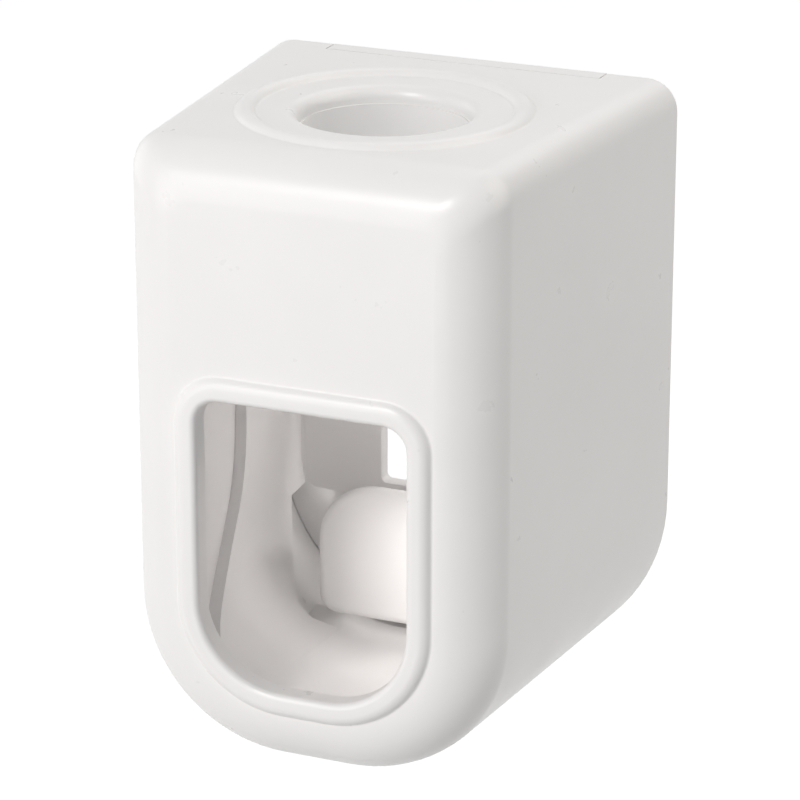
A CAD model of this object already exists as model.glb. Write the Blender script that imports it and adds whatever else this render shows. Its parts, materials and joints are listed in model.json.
# %% [markdown]
# # A wall-hung toothpaste dispenser
# The dispenser is a white drafted housing that hangs on the wall. A hole in its top takes the neck of
# a tube, and an arched window in its front takes the head of a brush, which presses a pad on a lever.
# The engineering model comes first and stays fixed. What shows is then modelled again with softer
# edges, and every other part gets a finish of its own.

# %% Load the engineering model
import json
import math

import bmesh
import bpy
from mathutils import Matrix, Vector


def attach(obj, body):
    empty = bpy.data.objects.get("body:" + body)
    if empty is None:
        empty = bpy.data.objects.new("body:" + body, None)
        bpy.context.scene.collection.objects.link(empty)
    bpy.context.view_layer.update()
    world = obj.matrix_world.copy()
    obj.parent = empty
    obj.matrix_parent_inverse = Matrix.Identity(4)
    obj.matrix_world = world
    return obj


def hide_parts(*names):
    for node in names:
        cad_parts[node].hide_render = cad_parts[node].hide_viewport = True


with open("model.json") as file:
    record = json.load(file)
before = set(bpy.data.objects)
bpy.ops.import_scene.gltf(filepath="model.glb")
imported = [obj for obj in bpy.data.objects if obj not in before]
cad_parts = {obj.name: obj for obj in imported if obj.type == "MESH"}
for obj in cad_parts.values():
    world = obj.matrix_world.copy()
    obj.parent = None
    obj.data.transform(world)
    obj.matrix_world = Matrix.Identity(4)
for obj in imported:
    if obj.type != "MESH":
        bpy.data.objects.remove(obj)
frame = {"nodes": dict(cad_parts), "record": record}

for leftover in ("Cube", "Light", "Camera"):
    if leftover in bpy.data.objects:
        bpy.data.objects.remove(bpy.data.objects[leftover])
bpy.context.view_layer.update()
MM = 0.001
BODY_HEIGHT = 85


def at(x, depth, height):
    """A point in millimetres: beside the middle, in front of the wall, above the lowest point."""
    return Vector((x, -depth, height - BODY_HEIGHT / 2))


# %% [markdown]
# ## Working by hand, from code
# A modeller starts a piece with an empty mesh, selects by eye and runs operators. Here the eye is a
# test on each vertex's place. A piece is drawn in millimetres, because the operators' tolerances
# suit numbers near one, and is brought to metres when it is finished.

# %% Start a piece, and select in it
def activate(piece):
    """Makes one object the only selected and active one."""
    bpy.ops.object.select_all(action="DESELECT")
    piece.select_set(True)
    bpy.context.view_layer.objects.active = piece


def open_piece(name):
    """An empty mesh object, open in edit mode, whose vertices can carry the number of their ring."""
    bpy.ops.object.select_all(action="DESELECT")
    bpy.ops.mesh.primitive_plane_add(size=1, location=(0, 0, 0))
    piece = bpy.context.object
    piece.name = piece.data.name = name
    bpy.ops.object.mode_set(mode="EDIT")
    bpy.ops.mesh.select_mode(type="VERT")
    bpy.ops.mesh.select_all(action="SELECT")
    bpy.ops.mesh.delete(type="VERT")
    bmesh.from_edit_mesh(piece.data).verts.layers.int.new("ring")
    return piece


def pick(test, add=False):
    """Selects the vertices that pass a test on their place, alone or added to what is selected."""
    mesh = bpy.context.object.data
    if not add:
        bpy.ops.mesh.select_all(action="DESELECT")
    shape = bmesh.from_edit_mesh(mesh)
    for vertex in shape.verts:
        passes = not vertex.hide and test(vertex.co)
        vertex.select = passes or (add and vertex.select)
    shape.select_flush(True)
    bmesh.update_edit_mesh(mesh)


def at_height(height, reach):
    """A test that passes places within a reach of a height."""
    level = at(0, 0, height).z
    return lambda place: abs(place.z - level) < reach


def pick_rings(*numbers):
    """Selects all the vertices that belong to the numbered rings."""
    mesh = bpy.context.object.data
    bpy.ops.mesh.reveal(select=False)
    bpy.ops.mesh.select_all(action="DESELECT")
    shape = bmesh.from_edit_mesh(mesh)
    layer = shape.verts.layers.int["ring"]
    for vertex in shape.verts:
        vertex.select = vertex[layer] in numbers
    shape.select_flush(True)
    bmesh.update_edit_mesh(mesh)


# %% [markdown]
# ## Rings
# A moulded body with draft changes its outline all the way from the wall to the front, so it can't
# be extruded. It is lofted: a ring is drawn for each depth, as a plane whose corners are rounded
# with the vertex bevel, and neighbouring rings are bridged. What is drawn already is hidden while
# the next ring is made, so that the operators see only the new one.

# %% Draw rings and bridge them
ring_count = 0


def number_ring():
    """Gives the vertices that are in view a ring number of their own."""
    global ring_count
    ring_count += 1
    mesh = bpy.context.object.data
    shape = bmesh.from_edit_mesh(mesh)
    layer = shape.verts.layers.int["ring"]
    for vertex in shape.verts:
        if not vertex.hide:
            vertex[layer] = ring_count
    bmesh.update_edit_mesh(mesh)
    return ring_count


def hide_drawn():
    """Hides all that is drawn so far."""
    bpy.ops.mesh.select_all(action="SELECT")
    bpy.ops.mesh.hide(unselected=False)


def ring_across(half, low, high, depth, top_r, floor_r, top_steps=8, floor_steps=20):
    """A ring that faces the front: two upper corners of one radius, two lower corners of another."""
    hide_drawn()
    centre = at(0, depth, (low + high) / 2)
    bpy.ops.mesh.primitive_plane_add(size=1, location=centre, rotation=(math.pi / 2, 0, 0))
    bpy.ops.transform.resize(value=(2 * half, 1, high - low), center_override=centre)
    for edge, radius, steps in ((high, top_r, top_steps), (low, floor_r, floor_steps)):
        pick(at_height(edge, 1e-3))
        bpy.ops.mesh.bevel(offset_type="OFFSET", offset=radius, segments=steps, affect="VERTICES")
    bpy.ops.mesh.select_all(action="SELECT")
    bpy.ops.mesh.delete(type="ONLY_FACE")
    return number_ring()


def ring_round(radius, depth, height, steps=96):
    """A ring that faces upwards, a circle about the pump's axis."""
    hide_drawn()
    bpy.ops.mesh.primitive_circle_add(vertices=steps, radius=radius, location=at(0, depth, height))
    return number_ring()


def bridge(first, second):
    """A band of faces between two rings."""
    pick_rings(first, second)
    bpy.ops.mesh.bridge_edge_loops()


def bridge_all(rings, closed=False):
    """Bridges each ring to the next, and the last one to the first in a closed loft."""
    for first, second in zip(rings, rings[1:] + rings[:1] if closed else rings[1:]):
        bridge(first, second)


# %% [markdown]
# ## Finishing
# The last steps are the same for each piece: doubled vertices are merged, all faces are turned
# outwards, the mesh is brought to metres, and the shading is smooth except at real edges. Weighted
# normals keep the large faces flat beside their small roundings, as on a polished mould.

# %% Solids that join, cut and get soft edges, and the last steps
def apply_modifier(piece, kind, **settings):
    """Adds a modifier with its settings and applies it."""
    activate(piece)
    modifier = piece.modifiers.new(kind.lower(), kind)
    for name, value in settings.items():
        setattr(modifier, name, value)
    bpy.ops.object.modifier_apply(modifier=modifier.name)


def combine(piece, tool, operation):
    """Joins, cuts or intersects a closed solid with another, which is used up."""
    apply_modifier(piece, "BOOLEAN", operation=operation, solver="EXACT", object=tool)
    bpy.data.objects.remove(tool)


def soften(piece, width, angle=40, segments=2):
    """Rounds every edge that is sharper than an angle."""
    apply_modifier(piece, "BEVEL", width=width, segments=segments, limit_method="ANGLE",
                   angle_limit=math.radians(angle), use_clamp_overlap=True)


def close_piece():
    """Merges doubles, turns all faces outwards and leaves edit mode."""
    bpy.ops.mesh.reveal(select=False)
    bpy.ops.mesh.select_all(action="SELECT")
    bpy.ops.mesh.remove_doubles(threshold=1e-4)
    bpy.ops.mesh.normals_make_consistent(inside=False)
    bpy.ops.object.mode_set(mode="OBJECT")
    return bpy.context.object


def finish_piece(piece, smooth_angle=32):
    """Brings a piece to metres, smooths its shading and reports what was made."""
    activate(piece)
    piece.scale = (MM, MM, MM)
    bpy.ops.object.transform_apply(location=True, rotation=True, scale=True)
    bpy.ops.object.shade_smooth_by_angle(angle=math.radians(smooth_angle), keep_sharp_edges=False)
    apply_modifier(piece, "WEIGHTED_NORMAL", mode="FACE_AREA", keep_sharp=True)
    layer = piece.data.attributes.get("ring")
    if layer:
        piece.data.attributes.remove(layer)
    triangles = sum(len(face.vertices) - 2 for face in piece.data.polygons)
    print(f"{piece.name}: {triangles} triangles, {[round(side / MM, 2) for side in piece.dimensions]} mm")
    return piece


def rod(name, start, end, radius, steps=48):
    """A closed rod between two points, used as a boss, a barrel or a drill."""
    along = end - start
    bpy.ops.object.select_all(action="DESELECT")
    bpy.ops.mesh.primitive_cone_add(
        vertices=steps, radius1=radius, radius2=radius, depth=along.length, location=(start + end) / 2,
        rotation=along.to_track_quat("Z", "Y").to_euler())
    piece = bpy.context.object
    piece.name = piece.data.name = name
    bpy.ops.object.transform_apply(location=True, rotation=True, scale=True)
    return piece


def block(name, low, high):
    """A closed block between two corners, used to cut or to build on."""
    bpy.ops.object.select_all(action="DESELECT")
    bpy.ops.mesh.primitive_cube_add(size=1, location=(low + high) / 2)
    piece = bpy.context.object
    piece.name = piece.data.name = name
    piece.scale = [abs(c) for c in high - low]
    bpy.ops.object.transform_apply(location=True, rotation=True, scale=True)
    return piece


def add_boss(piece, start, end, radius):
    """Grows a round boss on a piece."""
    combine(piece, rod("boss", start, end, radius), "UNION")


def drill(piece, start, end, radius, steps=48):
    """Drills a round hole in a piece."""
    combine(piece, rod("drill", start, end, radius, steps), "DIFFERENCE")


# %% [markdown]
# ## The housing
# The real housing is one injection-moulded shell of white ABS. Its sides lean in towards the front
# so that it slips off the mould's core, its floor is nearly a half circle, and a roll of 7 mm takes
# the sides into the flat front. One function gives the outline at any depth and inset, and both the
# outside and the inside of the shell are lofted from it, so the wall is 2.2 mm everywhere.

# %% The outline of the drafted body
BODY_HALF, BODY_DEPTH, WALL = 30, 55, 2.2
SIDE_DRAFT, FLOOR_DRAFT = 4.7, 2.3
TOP_CORNER, FRONT_CORNER, FLOOR_CORNER, FRONT_ROLL = 4.2, 3.0, 25.4, 7.0


def body_half(depth):
    """Half width of the body at a depth in front of the wall."""
    return BODY_HALF - SIDE_DRAFT * depth / BODY_DEPTH


def body_ring(depth, inset=0.0, roll=0.0):
    """The body's outline at a depth, drawn in by a wall and by the roll towards the front."""
    share, drawn = depth / BODY_DEPTH, inset + roll
    shoulder = TOP_CORNER + (FRONT_CORNER - TOP_CORNER) * roll / FRONT_ROLL - inset
    return ring_across(body_half(depth) - drawn, FLOOR_DRAFT * share + drawn, BODY_HEIGHT - drawn, depth,
                       max(shoulder, 0.6), FLOOR_CORNER - SIDE_DRAFT * share - drawn)


def body_roll(inset, degrees):
    """The outline at an angle of the roll from the sides into the front."""
    radius, turn = FRONT_ROLL - inset, math.radians(degrees)
    depth = BODY_DEPTH - inset - radius + radius * math.sin(turn)
    return body_ring(depth, inset, radius * (1 - math.cos(turn)))


print("half width at the wall and at the front:", body_half(0), body_half(BODY_DEPTH))


# %% [markdown]
# The window is framed by a bead, a round rib that stands 1 mm proud and stiffens the cut edge. Its
# section is a list of points, distance outside the opening and depth: a small hollow where it grows
# out of the front, the outer round, a narrow flat top, the inner edge, and the straight reveal
# through the wall.

# %% The section of the window's bead
BEAD_W, BEAD_R, BEAD_RISE, BEAD_EDGE, FOOT_R, REVEAL_R = 3.25, 1.5, 1.0, 0.85, 0.45, 0.25
BEAD_CENTRE = (BEAD_W - BEAD_R, BODY_DEPTH + BEAD_RISE - BEAD_R)


def arc(centre, radius, start, end, steps):
    """Points on an arc in degrees, ends included."""
    turns = [math.radians(start + (end - start) * i / steps) for i in range(steps + 1)]
    return [(centre[0] + radius * math.cos(t), centre[1] + radius * math.sin(t)) for t in turns]


foot_rise = BODY_DEPTH + FOOT_R - BEAD_CENTRE[1]
foot_out = math.sqrt((BEAD_R + FOOT_R) ** 2 - foot_rise ** 2)
foot_turn = math.degrees(math.atan2(foot_rise, foot_out))
bead_section = (
    arc((BEAD_CENTRE[0] + foot_out, BODY_DEPTH + FOOT_R), FOOT_R, 270, 180 + foot_turn, 4)
    + arc(BEAD_CENTRE, BEAD_R, foot_turn, 90, 7)[1:]
    + arc((BEAD_EDGE, BODY_DEPTH + BEAD_RISE - BEAD_EDGE), BEAD_EDGE, 90, 180, 6)
    + arc((REVEAL_R, BODY_DEPTH - WALL + REVEAL_R), REVEAL_R, 180, 270, 2))


WINDOW_HALF, WINDOW_LOW, WINDOW_HIGH, WINDOW_TOP_R, WINDOW_FLOOR_R = 14.6, 13.2, 52.2, 3.2, 11.4


def window_ring(grow, depth):
    """The window's outline, grown outwards by a distance."""
    return ring_across(WINDOW_HALF + grow, WINDOW_LOW - grow, WINDOW_HIGH + grow, depth,
                       WINDOW_TOP_R + grow, WINDOW_FLOOR_R + grow)


print("points in the bead's section:", len(bead_section))

# %% Loft the shell as one closed skin
open_piece("housing_shell")
ROLL_TURNS = [2.5, 10, 20, 30, 40, 50, 60, 70, 80, 90]
REAR_EDGE = 0.15
outer = [body_ring(0, REAR_EDGE), body_ring(REAR_EDGE)] + [body_roll(0, degrees) for degrees in ROLL_TURNS]
bead = [window_ring(grow, depth) for grow, depth in bead_section]
inner = [body_roll(WALL, degrees) for degrees in reversed(ROLL_TURNS)] + [body_ring(0, WALL)]
bridge_all(outer + bead + inner, closed=True)
print("rings in the shell:", len(outer + bead + inner))

# %% [markdown]
# The top carries a raised ring about the filling hole, where the tube's shoulder rests. Two long
# quads, the top's outer and inner face, are taken out. Rings are drawn for the foot, the round, the
# flat inside it, the rolled rim and the bore, and the flat between square and circle is filled.

# %% The raised ring and the filling hole
HOLE_DEPTH, HOLE_R, RIM_R = 28.5, 11.2, 1.6
RING_R, RING_BEAD, RING_LEVEL, RING_FOOT = 18.1, 1.5, 84.35, 0.4
FLAT_REACH, OUTSIDE_RING = 0.02, 20
ring_rise = BODY_HEIGHT + RING_FOOT - RING_LEVEL
ring_out = math.sqrt((RING_BEAD + RING_FOOT) ** 2 - ring_rise ** 2)
ring_turn = math.degrees(math.atan2(ring_rise, ring_out))
top_section = (
    arc((RING_R + ring_out, BODY_HEIGHT + RING_FOOT), RING_FOOT, 270, 180 + ring_turn, 3)
    + arc((RING_R, RING_LEVEL), RING_BEAD, ring_turn, 180 - ring_turn, 12)[1:]
    + arc((RING_R - ring_out, BODY_HEIGHT + RING_FOOT), RING_FOOT, 360 - ring_turn, 270, 3)[1:]
    + arc((HOLE_R + RIM_R, BODY_HEIGHT - RIM_R), RIM_R, 90, 180, 8)
    + [(HOLE_R, BODY_HEIGHT - WALL)])
for level in (BODY_HEIGHT, BODY_HEIGHT - WALL):
    bpy.ops.mesh.reveal(select=False)
    pick(at_height(level, FLAT_REACH))
    bpy.ops.mesh.delete(type="ONLY_FACE")
turned = [ring_round(radius, HOLE_DEPTH, height) for radius, height in top_section]
bridge_all(turned)
for level, ring in ((BODY_HEIGHT, turned[0]), (BODY_HEIGHT - WALL, turned[-1])):
    on_level = at_height(level, FLAT_REACH)
    pick_rings(ring)
    pick(lambda place: on_level(place) and abs(place.x) > OUTSIDE_RING, add=True)
    bpy.ops.mesh.fill(use_beauty=True)
shell = close_piece()
print("rings about the filling hole:", len(turned))

# %% [markdown]
# The rear edge of the top has a notch for the cover's tab, and bosses inside take the screws of the
# cover and of the pump head. They are closed solids joined to the shell, and then they are drilled.

# %% Notch, bosses and screw holes
COVER_SCREWS = [(0, 5), (-24.8, 79.8), (24.8, 79.8)]
COVER_T, COVER_BOSS_END, COVER_BOSS_R, COVER_HOLE_END = 1.8, 6.8, 3.2, 5
HEAD_SCREWS = [(x, HOLE_DEPTH + y) for x in (-14.5, 14.5) for y in (-13, 13)]
HEAD_TOP, HEAD_BOSS_END, HEAD_BOSS_R, HEAD_HOLE_END = 78.6, 83.4, 3, 81.7
PILOT_R = 1.32
NOTCH_HALF, NOTCH_DEPTH, NOTCH_LOW = 20, 3, 82
for x, height in COVER_SCREWS:
    add_boss(shell, at(x, COVER_T, height), at(x, COVER_BOSS_END, height), COVER_BOSS_R)
for x, depth in HEAD_SCREWS:
    add_boss(shell, at(x, depth, HEAD_TOP), at(x, depth, HEAD_BOSS_END), HEAD_BOSS_R)
for x, height in COVER_SCREWS:
    drill(shell, at(x, 1, height), at(x, COVER_HOLE_END, height), PILOT_R)
for x, depth in HEAD_SCREWS:
    drill(shell, at(x, depth, 76), at(x, depth, HEAD_HOLE_END), PILOT_R)
notch = block("notch", at(-NOTCH_HALF, NOTCH_DEPTH, NOTCH_LOW), at(NOTCH_HALF, -1, BODY_HEIGHT + 1))
combine(shell, notch, "DIFFERENCE")
finish_piece(shell)
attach(shell, "housing")
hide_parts("outer_shell")

# %% [markdown]
# ## The tray
# A trough of the same plastic lines the housing and shows through the window. Its skin follows the
# body closely. Seen from the side its front edge is an S that leaves the brush's head free and runs
# forward below the window, so the band is lofted like the shell and then intersected with that side
# profile. The S is a cubic curve with four control points. A thinner skin runs on in front of the S,
# so no gap shows between the tray and the housing. It starts inside the tray and ends a hair below
# its top, because two faces in one plane give a join with slivers.

# %% The band and its S-shaped side profile
TRAY_OUT, TRAY_IN, TRAY_REAR, TRAY_FRONT = WALL + 0.2, WALL + 0.5 + 2.4, 1, 47
SKIN_OUT, SKIN_IN, SKIN_REAR, SKIN_FRONT, HAIR = WALL + 0.25, WALL + 1.2, 22, 48, 0.1
CHEEK_TOP, CHEEK_EDGE, FLOOR_EDGE, TRAY_BOTTOM = 50, 23.4, 45, -0.5
S_CURVE = [(CHEEK_EDGE, 38), (CHEEK_EDGE, 16), (FLOOR_EDGE, 17), (FLOOR_EDGE, 10)]
SWING_CUT = [(13, TRAY_BOTTOM), (13, 7), (19.5, 7), (21.3, 8.7), (20.6, 10.5), (16, 13), (12.6, 15.2),
             (9.6, 17.7), (7.4, 20.5), (COVER_T, 20.5)]


def draw_profile(name, points, thickness):
    """A solid drawn in side view by extruding one vertex from point to point, then across X."""
    open_piece(name)
    mesh = bpy.context.object.data
    bpy.ops.mesh.primitive_plane_add(size=1, location=(0, 0, 0))
    shape = bmesh.from_edit_mesh(mesh)
    for i, vertex in enumerate(shape.verts):
        vertex.select = i > 0
    shape.select_flush(False)
    bmesh.update_edit_mesh(mesh)
    bpy.ops.mesh.delete(type="VERT")
    bpy.ops.mesh.select_all(action="SELECT")
    here = next(iter(bmesh.from_edit_mesh(mesh).verts)).co.copy()
    places = [at(-thickness / 2, depth, height) for depth, height in points]
    bpy.ops.transform.translate(value=places[0] - here)
    for start, end in zip(places, places[1:]):
        bpy.ops.mesh.extrude_region_move(TRANSFORM_OT_translate={"value": end - start})
    bpy.ops.mesh.select_all(action="SELECT")
    bpy.ops.mesh.edge_face_add()
    bpy.ops.mesh.extrude_region_move(TRANSFORM_OT_translate={"value": (thickness, 0, 0)})
    return close_piece()


def curve_point(points, t):
    """A point on a cubic curve, found by halving its control lines at t again and again."""
    while len(points) > 1:
        points = [tuple(a + (b - a) * t for a, b in zip(p, q)) for p, q in zip(points, points[1:])]
    return points[0]


def draw_band(name, rear, front, outside, inside):
    """A closed band that follows the body between two depths and two insets."""
    open_piece(name)
    bridge_all([body_ring(rear, outside), body_ring(front, outside),
                body_ring(front, inside), body_ring(rear, inside)], closed=True)
    return close_piece()


sweep = [curve_point(S_CURVE, i / 32) for i in range(33)]
profile = draw_profile("side_profile", [(CHEEK_EDGE, CHEEK_TOP)] + sweep + [(FLOOR_EDGE, TRAY_BOTTOM)]
                       + SWING_CUT + [(COVER_T, CHEEK_TOP)], 62)
trough = draw_band("brush_trough", TRAY_REAR, TRAY_FRONT, TRAY_OUT, TRAY_IN)
combine(trough, profile, "INTERSECT")
soften(trough, 0.25)
skin = draw_band("front_skin", SKIN_REAR, SKIN_FRONT, SKIN_OUT, SKIN_IN)
combine(skin, block("skin_height", at(-32, 20, TRAY_BOTTOM), at(32, 50, CHEEK_TOP - HAIR)), "INTERSECT")
combine(trough, skin, "UNION")
print("vertices in the tray before its bosses:", len(trough.data.vertices))

# %% Bosses for the axle and for the deck's screws
PIVOT_DEPTH, PIVOT_HEIGHT, AXLE_BOSS_R, AXLE_HOLE_R = 7.5, 42, 3.5, 1.52
CHEEK_AT_AXLE = body_half(PIVOT_DEPTH) - TRAY_IN
PLATE_HALF, PLATE_GAP = CHEEK_AT_AXLE - 2.9, 0.8
DECK_BOSS_DEPTHS, DECK_BOSS_FOOT, DECK_HOLE_FOOT, DECK_BOSS_R, DECK_HOLE_R = (13.4, 20.4), 44, 45.5, 2.6, 0.92
DECK_BOSS_X = body_half(DECK_BOSS_DEPTHS[0]) - TRAY_IN - 2.4


def on_axle(x):
    """A point on the lever's axle."""
    return at(x, PIVOT_DEPTH, PIVOT_HEIGHT)


for side in (-1, 1):
    add_boss(trough, on_axle(side * (PLATE_HALF + PLATE_GAP)), on_axle(side * (CHEEK_AT_AXLE + 1)), AXLE_BOSS_R)
    drill(trough, on_axle(side * 20), on_axle(side * 31), AXLE_HOLE_R)
    x = side * DECK_BOSS_X
    for depth in DECK_BOSS_DEPTHS:
        add_boss(trough, at(x, depth, DECK_BOSS_FOOT), at(x, depth, CHEEK_TOP), DECK_BOSS_R)
        drill(trough, at(x, depth, DECK_HOLE_FOOT), at(x, depth, CHEEK_TOP + 1), DECK_HOLE_R)
finish_piece(trough)
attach(trough, "housing")
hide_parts("brush_tray")

# %% [markdown]
# ## The lever
# A brush pushed into the window presses the pad, and the lever swings about its axle. The plate has
# a window of its own for the wall hook. Plate and pad are drawn as rings again: the plate is a flat
# loop between two outlines, pushed out to its thickness, and the pad is a hollow tray with a roll
# round its face.

# %% The plate with its window
PLATE_DEPTH, PLATE_T, PLATE_LOW, PLATE_CORNER = 5.9, 2.3, 22.6, 2
PLATE_WINDOW = (9.4, 25, 37.5, 0.8)


def plate(name, half, low, high, corner, depth, thickness, opening=None):
    """A flat plate facing the front with round corners, an opening if one is given, and soft edges."""
    open_piece(name)
    rings = [ring_across(half, low, high, depth, corner, corner, 8, 8)]
    if opening:
        rings.append(ring_across(*opening[:3], depth, opening[3], opening[3], 8, 8))
        bridge(*rings)
    else:
        pick_rings(rings[0])
        bpy.ops.mesh.edge_face_add()
    bpy.ops.mesh.select_all(action="SELECT")
    bpy.ops.mesh.extrude_region_move(TRANSFORM_OT_translate={"value": (0, -thickness, 0)})
    piece = close_piece()
    soften(piece, 0.25, angle=60)
    return piece


lever = plate("push_lever_body", PLATE_HALF, PLATE_LOW, PIVOT_HEIGHT, PLATE_CORNER, PLATE_DEPTH, PLATE_T,
              PLATE_WINDOW)
print("half width of the plate:", round(PLATE_HALF, 2))

# %% The hollow pad
PAD_HALF, PAD_LOW, PAD_HIGH, PAD_FALL = 13.9, 9.3, 29.5, 5.3
PAD_FACE, PAD_RIM, PAD_EDGE, PAD_WALL, PAD_TOP_R, PAD_LOW_R = 20.5, 9.5, 1.4, 1.8, 9.2, 2.8


def pad_ring(depth, drawn):
    """The pad's outline at a depth: its upper side falls towards the plate."""
    high = PAD_HIGH - PAD_FALL * (PAD_FACE - depth) / (PAD_FACE - PAD_RIM)
    return ring_across(PAD_HALF - drawn, PAD_LOW + drawn, high - drawn, depth,
                       PAD_TOP_R - drawn, max(PAD_LOW_R - drawn, 0.4), 14, 10)


def pad_skin(inset):
    """Rings from the pad's rear rim to its face. The inner rim starts a hair deeper, because a band
    between two rings in one plane can come out turned over."""
    rings = [pad_ring(PAD_RIM + inset / 100, inset)]
    for degrees in (0, 12, 24, 36, 48, 60, 72, 82, 90):
        turn = math.radians(degrees)
        rings.append(pad_ring(PAD_FACE - inset - PAD_EDGE * (1 - math.sin(turn)),
                              inset + PAD_EDGE * (1 - math.cos(turn))))
    return rings


open_piece("pad")
outside, inside = pad_skin(0), pad_skin(PAD_WALL)
bridge_all(outside)
bridge_all(inside)
bridge(outside[0], inside[0])
for ring in (outside[-1], inside[-1]):
    pick_rings(ring)
    bpy.ops.mesh.edge_face_add()
pad = close_piece()
soften(pad, 0.2, angle=60)
print("the pad's size in mm:", [round(side, 2) for side in pad.dimensions])

# %% Barrel, arm, nose, ribs and the foot that carries the pad
BARREL_R, BORE_R, SPRING_POCKET_R, SPRING_POCKET = 3.2, 1.55, 3.4, (10, 17.35)
ARM_HALF, ARM_TOP, NOSE_R, NOSE_HEIGHT, NOSE_TIP = 7, 64, 2.9, 61.2, 19.3
FOOT_HALF, FOOT_DEPTH = 5.7, 11.5
RIB_SHAPE, RIB_T = [(7.05, 42), (7.05, 62.65), (12.2, 61.2), (8.2, 45.2)], 1.4
barrel = rod("barrel", on_axle(-PLATE_HALF), on_axle(PLATE_HALF), BARREL_R, 64)
soften(barrel, 0.25, angle=60)
arm = plate("arm", ARM_HALF, PIVOT_HEIGHT - 1, ARM_TOP, 3, PLATE_DEPTH, PLATE_T)
nose = rod("nose", at(0, PLATE_DEPTH + PLATE_T / 2, NOSE_HEIGHT), at(0, NOSE_TIP, NOSE_HEIGHT), NOSE_R)
soften(nose, 1, angle=60, segments=4)
foot = block("foot", at(-FOOT_HALF, FOOT_DEPTH, PLATE_LOW),
             at(FOOT_HALF, PLATE_DEPTH + PLATE_T / 2, PAD_HIGH - PAD_FALL))
soften(foot, 0.2, angle=60)
for tool in (barrel, arm, nose, foot, pad):
    combine(lever, tool, "UNION")
for side in (-1, 1):
    rib = draw_profile("rib", RIB_SHAPE, RIB_T)
    activate(rib)
    rib.location.x = side * ARM_HALF / 2
    bpy.ops.object.transform_apply(location=True, rotation=False, scale=False)
    combine(lever, rib, "UNION")
drill(lever, on_axle(-24), on_axle(24), BORE_R)
drill(lever, on_axle(SPRING_POCKET[0]), on_axle(SPRING_POCKET[1]), SPRING_POCKET_R, 64)
finish_piece(lever)
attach(lever, "lever")
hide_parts("push_lever")

# %% [markdown]
# ## Finishes
# The plastic is a satin white ABS. A mould is sparked to a fine grain, so the surface has tiny bumps
# and its gloss changes a little from place to place. All patterns read Object coordinates, which
# are metres here, so a grain of a third of a millimetre has a noise scale of about 3000.

# %% Build a moulded plastic
def new_finish(name, colour, **shader_values):
    """A material with a Principled shader whose plain values are set on its own sockets."""
    finish = bpy.data.materials.new(name)
    finish.use_nodes = True
    shader = finish.node_tree.nodes["Principled BSDF"]
    shader.inputs["Base Color"].default_value = (*colour, 1)
    for socket, value in shader_values.items():
        shader.inputs[socket.replace("_", " ")].default_value = value
    return finish, finish.node_tree, shader


def pattern(tree, scale, detail=2.0, roughness=0.5, stretch=(1, 1, 1)):
    """A noise in Object coordinates, in grains per metre, stretched along an axis if asked."""
    place = tree.nodes.new("ShaderNodeTexCoord")
    turn = tree.nodes.new("ShaderNodeMapping")
    turn.inputs["Scale"].default_value = stretch
    noise = tree.nodes.new("ShaderNodeTexNoise")
    noise.inputs["Scale"].default_value = scale
    noise.inputs["Detail"].default_value = detail
    noise.inputs["Roughness"].default_value = roughness
    tree.links.new(place.outputs["Object"], turn.inputs["Vector"])
    tree.links.new(turn.outputs["Vector"], noise.inputs["Vector"])
    return noise.outputs["Fac"]


def spread(tree, factor, low, high):
    """Maps the useful part of a noise to a range of values."""
    node = tree.nodes.new("ShaderNodeMapRange")
    node.inputs["From Min"].default_value, node.inputs["From Max"].default_value = 0.3, 0.7
    node.inputs["To Min"].default_value, node.inputs["To Max"].default_value = low, high
    tree.links.new(factor, node.inputs["Value"])
    return node.outputs["Result"]


def add_cloud(tree, shader, noise, first, second):
    """Lets a noise blend the base colour between two colours."""
    node = tree.nodes.new("ShaderNodeMix")
    node.data_type = "RGBA"
    node.inputs["A"].default_value, node.inputs["B"].default_value = (*first, 1), (*second, 1)
    tree.links.new(spread(tree, noise, 0, 1), node.inputs["Factor"])
    tree.links.new(node.outputs["Result"], shader.inputs["Base Color"])


def add_gloss(tree, shader, noise, low, high):
    """Lets a noise move the roughness between two values."""
    tree.links.new(spread(tree, noise, low, high), shader.inputs["Roughness"])


def add_bump(tree, shader, height, distance, strength):
    """Raises the surface by a height pattern; the distance is in metres."""
    node = tree.nodes.new("ShaderNodeBump")
    node.inputs["Distance"].default_value, node.inputs["Strength"].default_value = distance, strength
    tree.links.new(height, node.inputs["Height"])
    tree.links.new(node.outputs["Normal"], shader.inputs["Normal"])


def moulded_plastic(name, colour, roughness):
    """Satin moulded plastic: a cloudy gloss, a breath of colour change and a fine spark grain."""
    finish, tree, shader = new_finish(name, colour, IOR=1.5)
    add_cloud(tree, shader, pattern(tree, 45, 3), colour, tuple(c * 0.975 for c in colour))
    add_gloss(tree, shader, pattern(tree, 160, 4, 0.6), roughness - 0.04, roughness + 0.05)
    add_bump(tree, shader, pattern(tree, 2600, 2), 0.00004, 0.06)
    return finish


shell_white = moulded_plastic("shell_white_abs", (0.865, 0.852, 0.845), 0.31)
inner_white = moulded_plastic("inner_white_abs", (0.885, 0.87, 0.862), 0.33)
print("nodes in the housing's plastic:", len(shell_white.node_tree.nodes))

# %% [markdown]
# The pump's soft parts are milky silicone, which lets a little light in and has a skin of its own.
# Springs, pins and screws are zinc-plated steel with fine marks from drawing and rolling. The
# O-ring and the bumper are moulded dark rubber with a faint bloom.

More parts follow.
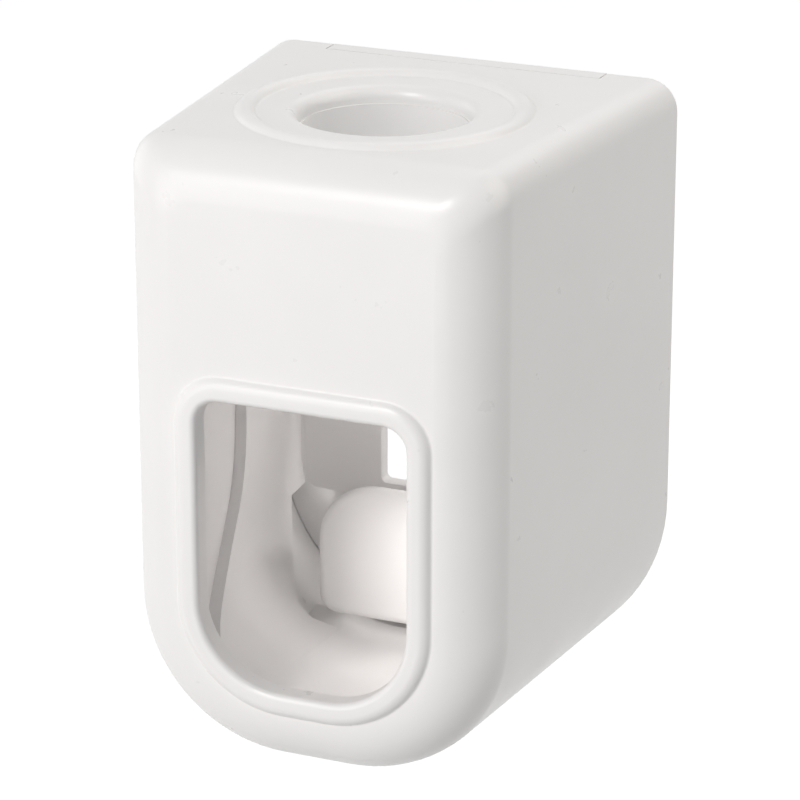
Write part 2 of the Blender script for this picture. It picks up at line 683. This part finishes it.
# %% Silicone, zinc and rubber
def silicone():
    """Milky silicone with a little light below its skin."""
    finish, tree, shader = new_finish("milky_silicone", (0.74, 0.79, 0.82), IOR=1.42, Subsurface_Weight=0.35,
                                      Subsurface_Radius=(0.002, 0.0022, 0.0024), Subsurface_Scale=1.0)
    add_cloud(tree, shader, pattern(tree, 220, 3), (0.72, 0.78, 0.81), (0.78, 0.82, 0.84))
    add_gloss(tree, shader, pattern(tree, 500, 3), 0.36, 0.5)
    add_bump(tree, shader, pattern(tree, 1800, 2), 0.00005, 0.08)
    return finish


def zinc():
    """Zinc-plated steel with fine spangles and drawing marks."""
    finish, tree, shader = new_finish("zinc_plated_steel", (0.60, 0.61, 0.63), Metallic=1.0)
    add_cloud(tree, shader, pattern(tree, 900, 4, 0.7), (0.56, 0.57, 0.60), (0.66, 0.67, 0.68))
    add_gloss(tree, shader, pattern(tree, 1500, 3), 0.24, 0.42)
    add_bump(tree, shader, pattern(tree, 4000, 2, 0.5, (1, 1, 8)), 0.00002, 0.15)
    return finish


def dark_rubber():
    """Dark moulded rubber with a faint bloom."""
    finish, tree, shader = new_finish("dark_rubber", (0.05, 0.05, 0.055), IOR=1.52)
    add_cloud(tree, shader, pattern(tree, 300, 4), (0.045, 0.045, 0.05), (0.075, 0.075, 0.08))
    add_gloss(tree, shader, pattern(tree, 700, 3), 0.5, 0.68)
    add_bump(tree, shader, pattern(tree, 2200, 3), 0.00005, 0.12)
    return finish


finishes = {"shell_white": shell_white, "inner_white": inner_white, "silicone": silicone(), "steel": zinc(),
            "dark_rubber": dark_rubber()}
print("finishes made:", sorted(finishes))

# %% Put a finish on every piece
shell.data.materials.append(shell_white)
for piece in (trough, lever):
    piece.data.materials.append(inner_white)
slot_of = {row["node"]: row["material_slot"] for row in frame["record"]["subparts"]}
for name, node in frame["nodes"].items():
    for slot in node.material_slots:
        slot.material = finishes[slot_of[name]]
print("finishes on", len(slot_of), "engineering parts")

# %% [markdown]
# ## The studio
# The photograph shows the dispenser on pure white, lit by a defined softbox a little to the left and
# above, with wide soft fill. The floor lies well below, since the dispenser hangs on a wall. It is
# white to the camera and to reflections, and keeps most of the soft shadow.

# %% Floor and world
def white_to_camera(tree, target, plain, shown):
    """Shows one shader to the camera, to reflections and through glass, and another to the light."""
    path = tree.nodes.new("ShaderNodeLightPath")
    seen = path.outputs["Is Camera Ray"]
    for ray in ("Is Glossy Ray", "Is Transmission Ray"):
        either = tree.nodes.new("ShaderNodeMath")
        either.operation = "MAXIMUM"
        tree.links.new(seen, either.inputs[0])
        tree.links.new(path.outputs[ray], either.inputs[1])
        seen = either.outputs[0]
    mix = tree.nodes.new("ShaderNodeMixShader")
    tree.links.new(seen, mix.inputs["Fac"])
    tree.links.new(plain, mix.inputs[1])
    tree.links.new(shown, mix.inputs[2])
    tree.links.new(mix.outputs["Shader"], target)


world = bpy.data.worlds.new("studio")
bpy.context.scene.world = world
world.use_nodes = True
sky = world.node_tree
dim_sky, white_sky = sky.nodes["Background"], sky.nodes.new("ShaderNodeBackground")
for light, colour, strength in ((dim_sky, (0.85, 0.95, 1, 1), 0.18), (white_sky, (1, 1, 1, 1), 1.0)):
    light.inputs["Color"].default_value = colour
    light.inputs["Strength"].default_value = strength
white_to_camera(sky, sky.nodes["World Output"].inputs["Surface"], dim_sky.outputs[0], white_sky.outputs[0])

FLOOR_SIZE, FLOOR_LEVEL = 6, -0.34
bpy.ops.object.select_all(action="DESELECT")
bpy.ops.mesh.primitive_plane_add(size=FLOOR_SIZE, location=(0, 0, FLOOR_LEVEL))
floor = bpy.context.object
floor.name = "floor"
paper, tree, shader = new_finish("floor_paper", (0.5, 0.5, 0.5), Roughness=0.9)
glow = tree.nodes.new("ShaderNodeEmission")
glow.inputs["Strength"].default_value = 0.94
shadow = tree.nodes.new("ShaderNodeBsdfDiffuse")
shadow.inputs["Color"].default_value = (0.22, 0.22, 0.22, 1)
white_floor = tree.nodes.new("ShaderNodeAddShader")
tree.links.new(glow.outputs[0], white_floor.inputs[0])
tree.links.new(shadow.outputs[0], white_floor.inputs[1])
white_to_camera(tree, tree.nodes["Material Output"].inputs["Surface"], shader.outputs[0], white_floor.outputs[0])
floor.data.materials.append(paper)

# %% [markdown]
# A small key from the left and above draws the window's shadow on the pad, and a wide box beside it
# fills the front. The right side is lit from the right and a little behind, so the roll between
# front and side stays the darkest part. Thin white ABS lets light through, so the brush space glows
# by itself. Weak lamps inside stand for that: over the cheeks and the floor, in front of the pad and
# under it, and behind the edges of plate and pad. The camera and reflections don't see them.

# %% Lamps
SOFT_WHITE, WARM_WHITE = (1, 0.975, 0.96), (1, 0.95, 0.90)


def add_lamp(name, place, look, width, height, power, colour=SOFT_WHITE):
    """An area lamp that looks in a direction; its power is in watts."""
    bpy.ops.object.select_all(action="DESELECT")
    bpy.ops.object.light_add(type="AREA", location=place, rotation=look.to_track_quat("-Z", "Y").to_euler())
    lamp = bpy.context.object
    lamp.name = name
    lamp.data.shape = "RECTANGLE"
    lamp.data.size, lamp.data.size_y, lamp.data.energy, lamp.data.color = width, height, power, colour
    return lamp


def softbox(name, beside, above, size, power, colour=SOFT_WHITE):
    """A square lamp that faces the dispenser from a direction in degrees: to the right of straight in
    front, and above the level."""
    turn, rise, distance = math.radians(beside), math.radians(above), 1.2
    place = Vector((math.sin(turn) * math.cos(rise), -math.cos(turn) * math.cos(rise), math.sin(rise))) * distance
    return add_lamp(name, place, -place, size, size, power, colour)


softbox("key", -15, 35.5, 0.3, 5.5)
softbox("front_fill", -25, 5, 0.9, 6.5)
softbox("left_fill", -100, 10, 0.9, 1.8)
softbox("right_above", 110, 45, 0.9, 4.9, WARM_WHITE)
softbox("right_fill", 100, 10, 0.9, 2.6, WARM_WHITE)
softbox("rear_fill", 180, 50, 0.9, 3.0)

# %% Weak lamps inside
def inner_glow(name, place, look, width, height, milliwatts):
    """A weak lamp inside the housing that neither the camera nor a reflection sees, in millimetres."""
    lamp = add_lamp(name, place * MM, Vector(look), width * MM, height * MM, milliwatts / 1000)
    lamp.visible_camera = lamp.visible_glossy = False


inner_glow("cheek_glow", at(14, 14, 46), (-1, -0.15, -0.3), 12, 6, 3.5)
inner_glow("floor_glow", at(9, 33, 30), (0.35, 0.15, -1), 22, 14, 1.4)
inner_glow("pad_glow", at(0, 36, 22), (0, 1, 0.1), 20, 12, 0.8)
inner_glow("under_pad_glow", at(0, 15.5, 8.9), (0, 0, -1), 24, 6, 0.2)
for word, side in (("left", -1), ("right", 1)):
    inner_glow(word + "_edge_glow", at(side * 19.5, 3.9, 30), (side, 0, 0), 3, 24, 0.22)
for word, side in (("left", -1), ("right", 1)):
    inner_glow(word + "_corner_glow", at(side * 13, 7, 16), (side, -0.1, -0.2), 6, 10, 0.16)
print("lamps:", len(bpy.data.lights))

# %% [markdown]
# ## The camera
# The camera stands where the photograph's did. Its place and lens come from fitting the outline of
# the drafted body, and it looks down by about 20 degrees from 23 degrees to the right.

# %% Camera
camera_data = bpy.data.cameras.new("camera")
camera = bpy.data.objects.new("camera", camera_data)
bpy.context.scene.collection.objects.link(camera)
SENSOR_WIDTH, FOCAL_PIXELS, PICTURE_PIXELS = 36, 3782, 800
camera_data.sensor_width = SENSOR_WIDTH
camera_data.lens = SENSOR_WIDTH * FOCAL_PIXELS / PICTURE_PIXELS
right, above, back = (0.91803, 0.39651, 0), (-0.13441, 0.31120, 0.94078), (0.37303, -0.86367, 0.33899)
pose = Matrix((right, above, back)).transposed().to_4x4()
pose.translation = Vector((188.65, -460.37, 172.55)) * MM
camera.matrix_world = pose
camera_data.clip_start = 0.01
bpy.context.scene.camera = camera
bpy.context.scene.view_settings.view_transform = "Standard"
print("distance of the camera in mm:", round(pose.translation.length / MM))
